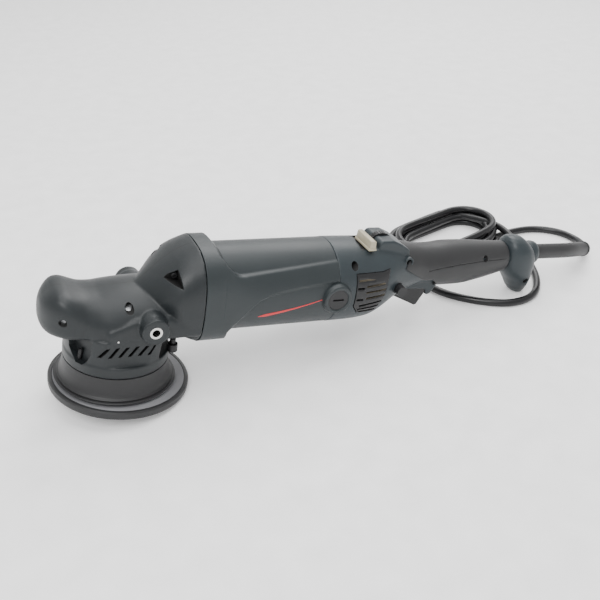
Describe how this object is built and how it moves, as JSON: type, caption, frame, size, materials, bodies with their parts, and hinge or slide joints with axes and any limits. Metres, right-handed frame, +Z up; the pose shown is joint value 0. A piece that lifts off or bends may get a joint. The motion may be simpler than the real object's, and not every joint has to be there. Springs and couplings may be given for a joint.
{
  "type": "dual action polisher",
  "caption": "Corded dual action polisher with a palm nose, round backing pad, inline motor, paddle trigger and long grip, lying tipped back on its butt knob beside its wound lead.",
  "frame": {"origin": "on the bench surface, under the middle of the tool's box", "axes": "+X along the tool towards the cord, +Z up, -Y the operator's right"},
  "size_m": [0.6237, 0.242, 0.1316],
  "materials": {
    "cover_plastic": "fine-grained dark blue-grey glass-filled nylon",
    "rear_plastic": "fine-grained blue-grey nylon",
    "grip_rubber": "satin dark grey soft overmould",
    "black_rubber": "matt black rubber",
    "black_plastic": "matt black plastic",
    "cast_alloy": "die-cast aluminium",
    "steel": "turned and ground steel",
    "copper": "enamelled copper and brass",
    "lamination": "stacked electrical steel",
    "carbon": "pressed carbon",
    "pad_foam": "light grey dense foam",
    "hook_fabric": "black hook fabric",
    "filter_mesh": "beige filter mesh",
    "cream_plastic": "cream plastic",
    "cord_jacket": "smooth black rubber jacket"
  },
  "bodies": {
    "housing": {"head_cover_right": "cover_plastic", "head_cover_left": "cover_plastic", "handle_inserts": "steel", "head_screws": "steel", "skirt_ring": "black_rubber", "gear_case": "cast_alloy", "bearing_retainer": "cast_alloy", "spindle_bearing_lower": "steel", "spindle_bearing_upper": "steel", "motor_housing": "cover_plastic", "stator_core": "lamination", "field_windings": "copper", "fan_baffle": "black_plastic", "armature_bearing_front": "steel", "armature_bearing_rear": "steel", "motor_end_frame": "black_plastic", "brush_holders": "copper", "carbon_brushes": "carbon", "brush_caps": "black_plastic", "rear_housing_right": "rear_plastic", "rear_housing_left": "rear_plastic", "vent_cover_right": "black_plastic", "vent_cover_left": "black_plastic", "dust_filter_right": "filter_mesh", "dust_filter_left": "filter_mesh", "grip_right": "grip_rubber", "grip_left": "grip_rubber", "rear_screws": "steel", "trigger_pin": "steel", "switch_body": "black_plastic", "speed_controller": "black_plastic", "butt_knob": "rear_plastic", "strain_relief": "black_rubber", "power_lead": "cord_jacket", "cord_loop": "cord_jacket", "plug_lead": "cord_jacket", "cord_hank": "cord_jacket", "mains_plug": "black_plastic"},
    "spindle": {"spindle": "steel", "bevel_gear": "steel", "eccentric_carrier": "cast_alloy", "eccentric_screw": "steel", "pad_bearing": "steel"},
    "pad": {"pad_arbor": "steel", "backing_plate": "black_plastic", "pad_cushion": "pad_foam", "pad_edge": "black_rubber", "hook_face": "hook_fabric", "pad_screws": "steel"},
    "armature": {"armature_shaft": "steel", "armature_core": "lamination", "armature_winding": "copper", "commutator": "copper", "cooling_fan": "black_plastic", "pinion": "steel"},
    "trigger": {"trigger": "black_plastic"},
    "lock_button": {"lock_button": "black_plastic"},
    "speed_dial": {"speed_dial": "black_plastic"},
    "mode_selector": {"mode_selector": "cream_plastic"},
    "spindle_lock": {"spindle_lock_button": "black_plastic"}
  },
  "joints": [
    {"name": "armature_spin", "type": "hinge", "parent": "housing", "child": "armature", "pos_m": [-0.10946, 0, 0.07903], "axis": [0.9863, 0, -0.165], "continuous": true},
    {"name": "spindle_spin", "type": "hinge", "parent": "housing", "child": "spindle", "pos_m": [-0.23265, 0, 0.06994], "axis": [0.165, 0, 0.9863], "continuous": true},
    {"name": "pad_spin", "type": "hinge", "parent": "spindle", "child": "pad", "pos_m": [-0.23531, 0, 0.02983], "axis": [0.165, 0, 0.9863], "continuous": true},
    {"name": "trigger_pull", "type": "hinge", "parent": "housing", "child": "trigger", "pos_m": [0.03251, 0, 0.0428], "axis": [0, -1, 0], "range_deg": [0, 7], "stiffness_Nm_per_rad": 0.6},
    {"name": "lock_button_press", "type": "slide", "parent": "housing", "child": "lock_button", "axis": [0, 1, 0], "range_m": [0, 0.004], "stiffness_N_per_m": 400},
    {"name": "speed_dial_turn", "type": "hinge", "parent": "housing", "child": "speed_dial", "pos_m": [0.02037, 0, 0.09147], "axis": [0, 1, 0], "range_deg": [0, 270]},
    {"name": "mode_selector_slide", "type": "slide", "parent": "housing", "child": "mode_selector", "axis": [0, 1, 0], "range_m": [0, 0.012]},
    {"name": "spindle_lock_press", "type": "slide", "parent": "housing", "child": "spindle_lock", "axis": [0.165, 0, 0.9863], "range_m": [0, 0.003], "stiffness_N_per_m": 500}
  ],
  "couplings": [
    {"joint": "armature_spin", "follows": "spindle_spin", "ratio": 3.6}
  ]
}
